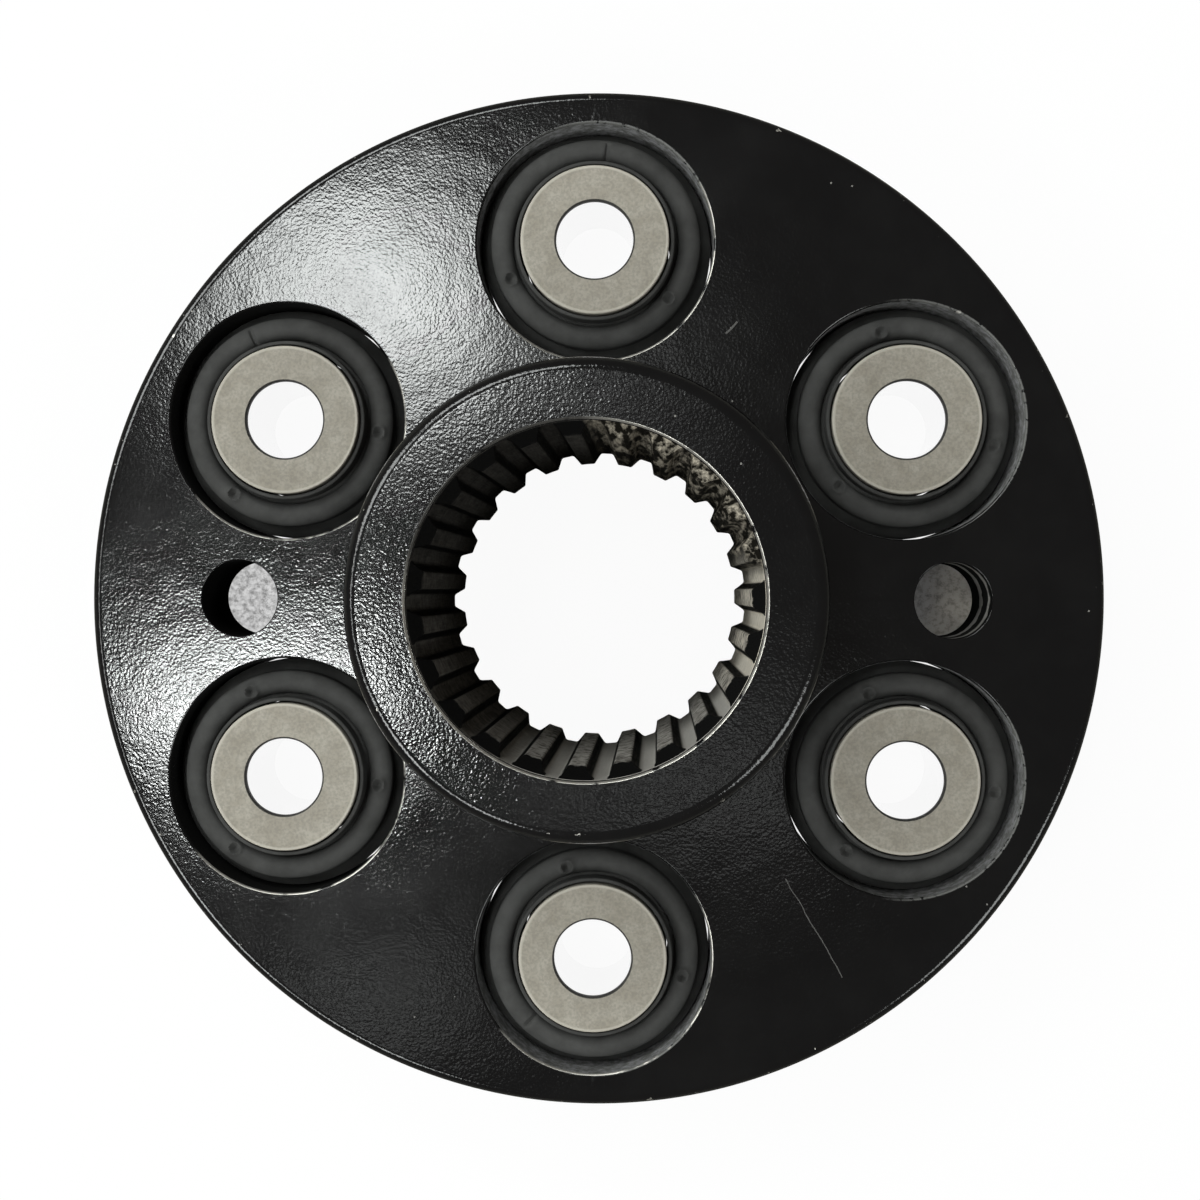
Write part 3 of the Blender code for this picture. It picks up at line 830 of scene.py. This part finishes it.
def moulded_rubber(colours):
    """Carbon-filled rubber out of a steel mould: dark grey and matt, with a grey bloom and a fine grain."""
    material, tree = blank_material("moulded_rubber")
    place = add(tree, "TexCoord").outputs["Object"]
    bloom_noise = add(tree, "TexNoise",
                      {"Vector": place, "Scale": 1 / (4 * MM), "Detail": 5.0, "Roughness": 0.62})
    bloom = add(tree, "MapRange", {"Value": bloom_noise, "From Min": 0.35, "From Max": 0.75})
    base = add(tree, "Mix", {"Factor": bloom, "A": colours.rubber, "B": linear("#454544")},
               data_type="RGBA")
    rough = add(tree, "MapRange", {"Value": bloom_noise, "From Min": 0.3, "From Max": 0.7,
                                   "To Min": 0.66, "To Max": 0.8})
    grain = add(tree, "TexNoise", {"Vector": place, "Scale": 1 / (0.35 * MM), "Detail": 2.0})
    skin = add(tree, "Bump", {"Height": grain, "Distance": 0.015 * MM, "Strength": 1.0})
    shader = add(tree, "BsdfPrincipled", {"Base Color": base, "Roughness": rough, "Specular IOR Level": 0.2,
                                          "Normal": skin})
    add(tree, "OutputMaterial", {"Surface": shader})
    return material


def ground_steel(colours, bore):
    """Tube with ground ends and a reamed bore: the ends have a soft beige-grey sheen under a thin film
    of oil, with a painted highlight along the outer edge, a dark ring of painted shade round the bore's
    mouth, and the bore itself is bright and takes on the colour of what lies behind it."""
    material, tree = blank_material("ground_steel")
    place = add(tree, "TexCoord").outputs["Object"]
    local = add(tree, "Attribute", attribute_name="from_axis").outputs["Vector"]
    _, radius, (_, _, z) = where(tree, local)
    in_bore = add(tree, "Math", {0: radius, 1: bore + 0.04 * MM}, operation="LESS_THAN")
    deep = add(tree, "Math", {0: z, 1: SLEEVE_HIGH.z - 1.2 * MM}, operation="LESS_THAN")
    reamed = add(tree, "Math", {0: in_bore, 1: deep}, operation="MULTIPLY")
    # Painted shade: a dark ring round the bore's mouth
    mouth = add(tree, "Math", {0: radius, 1: bore + 0.28 * MM}, operation="LESS_THAN")
    painted_shade_ring = add(tree, "Math", {0: mouth, 1: reamed}, operation="SUBTRACT")
    rings = add(tree, "TexNoise", {"W": radius, "Scale": 1 / (0.22 * MM), "Detail": 2.0},
                noise_dimensions="1D")
    cloud = add(tree, "TexNoise",
                {"Vector": place, "Scale": 1 / (3 * MM), "Detail": 5.0, "Roughness": 0.65})
    grit = add(tree, "TexNoise", {"Vector": place, "Scale": 1 / (0.4 * MM), "Detail": 2.0})
    tone = add(tree, "MapRange", {"Value": cloud, "From Min": 0.35, "From Max": 0.7})
    specks = add(tree, "MapRange", {"Value": grit, "From Min": 0.4, "From Max": 0.62})
    faint = add(tree, "Math", {0: specks, 1: 0.5}, operation="MULTIPLY")
    # Painted highlight: the outer edge made lighter
    edge = add(tree, "MapRange", {"Value": radius, "From Min": SLEEVE_RADIUS - 0.6 * MM,
                                  "From Max": SLEEVE_RADIUS - 0.35 * MM, "To Max": 0.7})
    base = add(tree, "Mix", {"Factor": tone, "A": colours.sleeve_steel, "B": linear("#8A8478")},
               data_type="RGBA")
    base = add(tree, "Mix", {"Factor": faint, "A": base, "B": linear("#77736A")}, data_type="RGBA")
    base = add(tree, "Mix", {"Factor": edge, "A": base, "B": linear("#B5B0A5")}, data_type="RGBA")
    base = add(tree, "Mix", {"Factor": painted_shade_ring, "A": base, "B": linear("#2A2825")}, data_type="RGBA")
    base = add(tree, "Mix", {"Factor": reamed, "A": base, "B": linear("#FAFAFA")}, data_type="RGBA")
    metal = add(tree, "MapRange", {"Value": reamed, "To Min": 0.2, "To Max": 1.0})
    rough = add(tree, "MapRange",
                {"Value": cloud, "From Min": 0.3, "From Max": 0.7, "To Min": 0.56, "To Max": 0.68})
    rough = add(tree, "Mix", {"Factor": reamed, "A": rough, "B": 0.1})
    skin = add(tree, "Bump", {"Height": rings, "Distance": 0.006 * MM, "Strength": 1.0})
    skin = add(tree, "Bump", {"Height": grit, "Distance": 0.01 * MM, "Strength": 1.0, "Normal": skin})
    shader = add(tree, "BsdfPrincipled",
                 {"Base Color": base, "Metallic": metal, "Roughness": rough, "Normal": skin})
    add(tree, "OutputMaterial", {"Surface": shader})
    return material


def seen_ray(tree):
    """1 for a ray from the camera or sent on by glass, and 1 for a ray sent on by gloss."""
    path = add(tree, "LightPath").outputs
    straight = add(tree, "Math", {0: path["Is Camera Ray"], 1: path["Is Transmission Ray"]},
                   operation="MAXIMUM")
    return straight, path["Is Glossy Ray"]


def white_floor(colours, glow):
    """Matt board, mostly plain white to the camera, with the rest of its look for the object's shadow.

    The paint mirrors it as the grey ground that it is, and only the bright bush sleeves mirror it white,
    from a painted white patch under each bush. Behind the two plain holes lies a patch of painted shade
    on grainy ground, painted lighter towards the lamps."""
    material, tree = blank_material("white_floor")
    place = add(tree, "TexCoord").outputs["Object"]
    _, radius, (x, y, _) = where(tree, place)
    from_bush, _ = bush_distance(tree, radius, x, y)
    # Painted reflection: a white patch under each bush, seen only by mirrored rays
    pool = add(tree, "MapRange", {"Value": from_bush, "From Min": 13 * MM, "From Max": 11 * MM})
    # Painted shade: a patch of grainy ground under each plain hole, painted lighter towards -X where the
    # lamps are
    mirrored_side = add(tree, "VectorMath", {0: place}, operation="ABSOLUTE")
    aside = add(tree, "VectorMath", {0: mirrored_side, 1: (GROUND_SPOT, 0, 0)}, operation="DISTANCE")
    shade = add(tree, "MapRange", {"Value": aside, "From Min": 10 * MM, "From Max": 8.5 * MM})
    grain = add(tree, "TexNoise",
                {"Vector": place, "Scale": 1 / (1.1 * MM), "Detail": 4.0, "Roughness": 0.75})
    speckle = add(tree, "MapRange", {"Value": grain, "From Min": 0.38, "From Max": 0.6,
                                     "To Min": 0.5, "To Max": 1.3})
    lit = add(tree, "MapRange", {"Value": x, "From Min": -GROUND_REACH, "From Max": GROUND_REACH,
                                 "To Min": 0.5, "To Max": 0.04})
    lit = add(tree, "Math", {0: lit, 1: speckle}, operation="MULTIPLY")
    white_share = add(tree, "Mix", {"Factor": shade, "A": glow, "B": lit})
    straight, mirrored = seen_ray(tree)
    mirrored = add(tree, "Math", {0: mirrored, 1: pool}, operation="MULTIPLY")
    seen = add(tree, "Math", {0: straight, 1: mirrored}, operation="MAXIMUM")
    share = add(tree, "Math", {0: seen, 1: white_share}, operation="MULTIPLY")
    dim = add(tree, "MapRange", {"Value": x, "From Min": -GROUND_REACH, "From Max": GROUND_REACH})
    dim = add(tree, "Math", {0: dim, 1: shade}, operation="MULTIPLY")
    ground = add(tree, "Mix", {"Factor": speckle, "A": linear("#5E5850"), "B": linear("#A19A8E")},
                 data_type="RGBA")
    tint = add(tree, "Mix", {"Factor": dim, "A": colours.floor, "B": ground}, data_type="RGBA")
    tint = add(tree, "Mix", {"Factor": seen, "A": colours.ground, "B": tint}, data_type="RGBA")
    board = add(tree, "BsdfDiffuse", {"Color": tint})
    white = add(tree, "Emission", {"Strength": 1.0})
    look = add(tree, "MixShader", {0: share, 1: board, 2: white})
    clear = add(tree, "BsdfTransparent")
    below = add(tree, "NewGeometry").outputs["Backfacing"]
    add(tree, "OutputMaterial", {0: add(tree, "MixShader", {0: below, 1: look, 2: clear})})
    return material


def white_backdrop():
    """Plain white behind the floor's far edge, which lets the room's own light through."""
    material, tree = blank_material("white_backdrop")
    clear = add(tree, "BsdfTransparent")
    white = add(tree, "Emission", {"Strength": 1.0})
    straight, _ = seen_ray(tree)
    add(tree, "OutputMaterial", {0: add(tree, "MixShader", {0: straight, 1: clear, 2: white})})
    return material


# Operators


def flange_faces(scene):
    """Heights of the flange's rear and front faces, from the sleeves that stand proud of both."""
    proud = scene.coupling_bush.sleeve_proud
    return SLEEVE_LOW.z + proud, SLEEVE_HIGH.z - proud


class COUPLING_OT_flange_hub(bpy.types.Operator):
    """Turn the flange and hub, cut its spline, bores and holes, and paint it"""
    bl_idname = "coupling.flange_hub"
    bl_label = "Flange and Hub"

    def execute(self, context):
        scene = context.scene
        sizes, spline, colours = scene.coupling_flange, scene.coupling_spline, scene.coupling_colours
        rear, front = flange_faces(scene)
        outline = body_outline(sizes, spline, rear, front)
        body = put("enamelled_flange_hub", surface("enamelled_flange_hub", turned(outline, BODY_SEGMENTS)))
        cutters = [spline_cutter(spline, sizes.hub_front)]
        for number, spot in enumerate(bush_spots(), 1):
            cutters.append(hole_cutter(f"bush_bore_{number}", spot, sizes.bore_radius, sizes.bore_edge,
                                       rear, front, BORE_SEGMENTS))
        for number, side in enumerate((1, -1), 1):
            cutters.append(hole_cutter(f"jack_hole_{number}", (side * BOLT_CIRCLE, 0, 0),
                                       sizes.jack_hole_radius, sizes.jack_hole_edge, rear, front,
                                       HOLE_SEGMENTS))
        carve(body, cutters)
        self.split_finishes(body.data, sizes, spline)
        finish_piece(body, ["flange_hub"], (
            gloss_black_enamel(colours, sizes, spline, front),
            broached_steel(colours, sizes, spline),
            dusty_bore_enamel(colours),
            sooty_drilled_wall(front),
        ))
        return {"FINISHED"}

    @staticmethod
    def split_finishes(mesh, sizes, spline):
        """Gives the faces of the spline, the bush bores and the plain holes their own materials."""
        centres = np.empty(len(mesh.polygons) * 3, np.float32)
        mesh.polygons.foreach_get("center", centres)
        centres = centres.reshape(-1, 3)
        in_spline = np.hypot(centres[:, 0], centres[:, 1]) < spline.floor_radius + WALL_SLACK
        away = np.linalg.norm(centres[:, None, :2] - bush_spots()[:, :2], axis=2).min(1)
        in_bore = away < sizes.bore_radius + WALL_SLACK
        aside = np.hypot(np.abs(centres[:, 0]) - BOLT_CIRCLE, centres[:, 1])
        in_hole = aside < sizes.jack_hole_radius + WALL_SLACK
        mesh.polygons.foreach_set("material_index",
                                  (in_spline + 2 * in_bore + 3 * in_hole).astype(np.int32))


class COUPLING_OT_rubber_bushes(bpy.types.Operator):
    """Mould the six rubber bushes, with their beads, lips and moulded dots"""
    bl_idname = "coupling.rubber_bushes"
    bl_label = "Rubber Bushes"

    def execute(self, context):
        scene = context.scene
        sizes = scene.coupling_bush
        rear, front = flange_faces(scene)
        rings = turned(bush_outline(sizes, rear, front), BUSH_SEGMENTS)
        material = moulded_rubber(scene.coupling_colours)
        for number, (spot, turn, tick) in enumerate(zip(bush_spots(), BUSH_TURNS, BUSH_TICKS), 1):
            points = rings.copy()
            press_marks(points, sizes, (rear + front) / 2, math.radians(turn), tick)
            bush = put(f"moulded_bush_{number}", surface(f"moulded_bush_{number}", points + spot))
            finish_piece(bush, [f"rubber_bush_{number}"], (material,))
        return {"FINISHED"}


class COUPLING_OT_bolt_sleeves(bpy.types.Operator):
    """Turn the six steel bolt sleeves"""
    bl_idname = "coupling.bolt_sleeves"
    bl_label = "Bolt Sleeves"

    def execute(self, context):
        scene = context.scene
        sizes = scene.coupling_bush
        bore, edge = sizes.sleeve_bore / 2, sizes.sleeve_edge
        low, high = SLEEVE_LOW.z, SLEEVE_HIGH.z
        rings = turned(rounded((
            (bore, low, edge),
            (SLEEVE_RADIUS, low, edge),
            (SLEEVE_RADIUS, high, edge),
            (bore, high, edge),
        )), SLEEVE_SEGMENTS)
        material = ground_steel(scene.coupling_colours, bore)
        for number, spot in enumerate(bush_spots(), 1):
            mesh = surface(f"ground_sleeve_{number}", rings + spot)
            local = mesh.attributes.new("from_axis", "FLOAT_VECTOR", "POINT")
            local.data.foreach_set("vector", rings.astype(np.float32).ravel())
            finish_piece(put(f"ground_sleeve_{number}", mesh), [f"bolt_sleeve_{number}"],
                         (material,))
        return {"FINISHED"}


def facing(place, aim):
    """Stands at the place and looks along -Z at the aim, with its top towards +Y."""
    back = (place - aim).normalized()
    right = Vector((0, 1, 0)).cross(back).normalized()
    return Matrix.Translation(place) @ Matrix((right, back.cross(right), back)).transposed().to_4x4()


class COUPLING_OT_stage(bpy.types.Operator):
    """Lay the pale floor, hang the lights and set up the camera"""
    bl_idname = "coupling.stage"
    bl_label = "Stage"

    # Soft boxes: name, where each shows in the flange as seen by the camera (slopes to the left and up),
    # its width and height as slopes, and its brightness
    SOFT_BOXES = (
        ("upper_left_box", (-0.175, 0.171), (0.156, 0.128), 22.0),
        ("left_box", (-0.229, -0.066), (0.160, 0.034), 76.0),
        ("lower_left_box", (-0.165, -0.238), (0.130, 0.030), 2.5),
        ("top_glow", (-0.055, 0.125), (0.150, 0.040), 2.0),
        ("bottom_glow", (0.025, -0.108), (0.160, 0.040), 1.8),
        ("upper_side_box", (-0.42, 0.80), (0.60, 0.18), 9.5),
        ("upper_low_box", (-0.87, 0.45), (0.35, 0.35), 8.0),
        ("side_strip", (-0.95, -0.10), (0.08, 0.55), 9.0),
        ("lower_low_box", (-0.75, -0.55), (0.20, 0.35), 11.0),
        ("lower_side_box", (-0.45, -0.80), (0.28, 0.12), 10.0),
        ("right_fill", (0.75, -0.60), (0.35, 0.35), 6.0),
    )
    LAMP_HEIGHT = 1.5
    LAMP_COLOUR = (0.965, 1.0, 0.985)
    ROOM_COLOUR = "#FFF8F0"
    FRAME_WIDTH = 36.0
    NEAREST = 0.01
    FARTHEST = 20.0
    FLOOR_REACH = 3.0
    BACKDROP_HEIGHT = 0.4

    def execute(self, context):
        scene = context.scene
        studio, colours = scene.coupling_studio, scene.coupling_colours
        scene.view_settings.view_transform = "Standard"
        self.place_camera(scene, studio)
        self.lay_floor(colours, studio.floor_glow)
        self.hang_lights(studio)
        world = bpy.data.worlds.new("room")
        scene.world = world
        world.use_nodes = True
        background = world.node_tree.nodes["Background"]
        background.inputs["Color"].default_value = linear(self.ROOM_COLOUR)
        background.inputs["Strength"].default_value = studio.room_light
        return {"FINISHED"}

    def place_camera(self, scene, studio):
        """Stands the camera at its place, looking at its aim and rolled about that line."""
        look = facing(Vector(studio.camera_place), Vector(studio.camera_aim))
        data = bpy.data.cameras.new("camera")
        data.lens = studio.lens
        data.sensor_width = self.FRAME_WIDTH
        data.clip_start = self.NEAREST
        data.clip_end = self.FARTHEST
        camera = bpy.data.objects.new("camera", data)
        camera.matrix_world = look @ Matrix.Rotation(studio.camera_roll, 4, "Z")
        scene.collection.objects.link(camera)
        scene.camera = camera

    def lay_floor(self, colours, glow):
        """Lays a square just under the coupling, inside a low round wall that hides its far edge."""
        reach = self.FLOOR_REACH
        square = bpy.data.meshes.new("floor")
        below = -LIFT
        square.from_pydata([(-reach, -reach, below), (reach, -reach, below), (reach, reach, below),
                            (-reach, reach, below)], [], [(0, 1, 2, 3)])
        square.materials.append(white_floor(colours, glow))
        wall = turned(np.array(((reach, below), (reach, self.BACKDROP_HEIGHT))), BORE_SEGMENTS)
        corners = wall.reshape(-1, 3)
        place = np.arange(BORE_SEGMENTS)
        beside = (place + 1) % BORE_SEGMENTS
        sides = np.stack((place, beside, beside + BORE_SEGMENTS, place + BORE_SEGMENTS), -1)
        backdrop = bpy.data.meshes.new("backdrop")
        backdrop.from_pydata(corners.tolist(), [], sides.tolist())
        backdrop.materials.append(white_backdrop())
        put("floor", square)
        put("backdrop", backdrop)

    def hang_lights(self, studio):
        """Each box hangs where the camera's ray mirrored in the flange meets it, and faces the coupling.

        A box of area A and power P has the brightness P / (pi A), so its power is pi A times that."""
        eye, aim = Vector(studio.camera_place), Vector(studio.camera_aim)
        reach = eye.z - aim.z + self.LAMP_HEIGHT
        for name, (left, up), (wide, high), brightness in self.SOFT_BOXES:
            data = bpy.data.lights.new(name, "AREA")
            data.shape = "RECTANGLE"
            place = Vector((eye.x + left * reach, eye.y + up * reach, aim.z + self.LAMP_HEIGHT))
            span = (place - aim).length
            data.size = wide * span
            data.size_y = high * span
            data.energy = math.pi * data.size * data.size_y * brightness
            data.color = self.LAMP_COLOUR
            lamp = bpy.data.objects.new(name, data)
            lamp.matrix_world = facing(place, aim)
            lamp.visible_camera = False
            bpy.context.scene.collection.objects.link(lamp)


class COUPLING_PT_panel(bpy.types.Panel):
    """Sizes, colours and steps of the coupling"""
    bl_idname = "COUPLING_PT_panel"
    bl_label = "Drive Coupling"
    bl_space_type = "VIEW_3D"
    bl_region_type = "UI"
    bl_category = "Coupling"

    def draw(self, context):
        for name in GROUPS:
            group = getattr(context.scene, name)
            box = self.layout.box()
            for value in group.__annotations__:
                box.prop(group, value)
        for step in STEPS:
            self.layout.operator(step.bl_idname)


STEPS = (COUPLING_OT_flange_hub, COUPLING_OT_rubber_bushes, COUPLING_OT_bolt_sleeves, COUPLING_OT_stage)
GROUPS = {
    "coupling_flange": FlangeSizes,
    "coupling_spline": SplineSizes,
    "coupling_bush": BushSizes,
    "coupling_colours": CouplingColours,
    "coupling_studio": StudioSettings,
}


def register():
    for item in (*GROUPS.values(), *STEPS, COUPLING_PT_panel):
        bpy.utils.register_class(item)
    for name, group in GROUPS.items():
        setattr(bpy.types.Scene, name, bpy.props.PointerProperty(type=group))


def unregister():
    for name in GROUPS:
        delattr(bpy.types.Scene, name)
    for item in (COUPLING_PT_panel, *reversed(STEPS), *reversed(GROUPS.values())):
        bpy.utils.unregister_class(item)


def main():
    register()
    bpy.ops.coupling.flange_hub()
    bpy.ops.coupling.rubber_bushes()
    bpy.ops.coupling.bolt_sleeves()
    bpy.ops.coupling.stage()


if __name__ == "__main__":
    main()
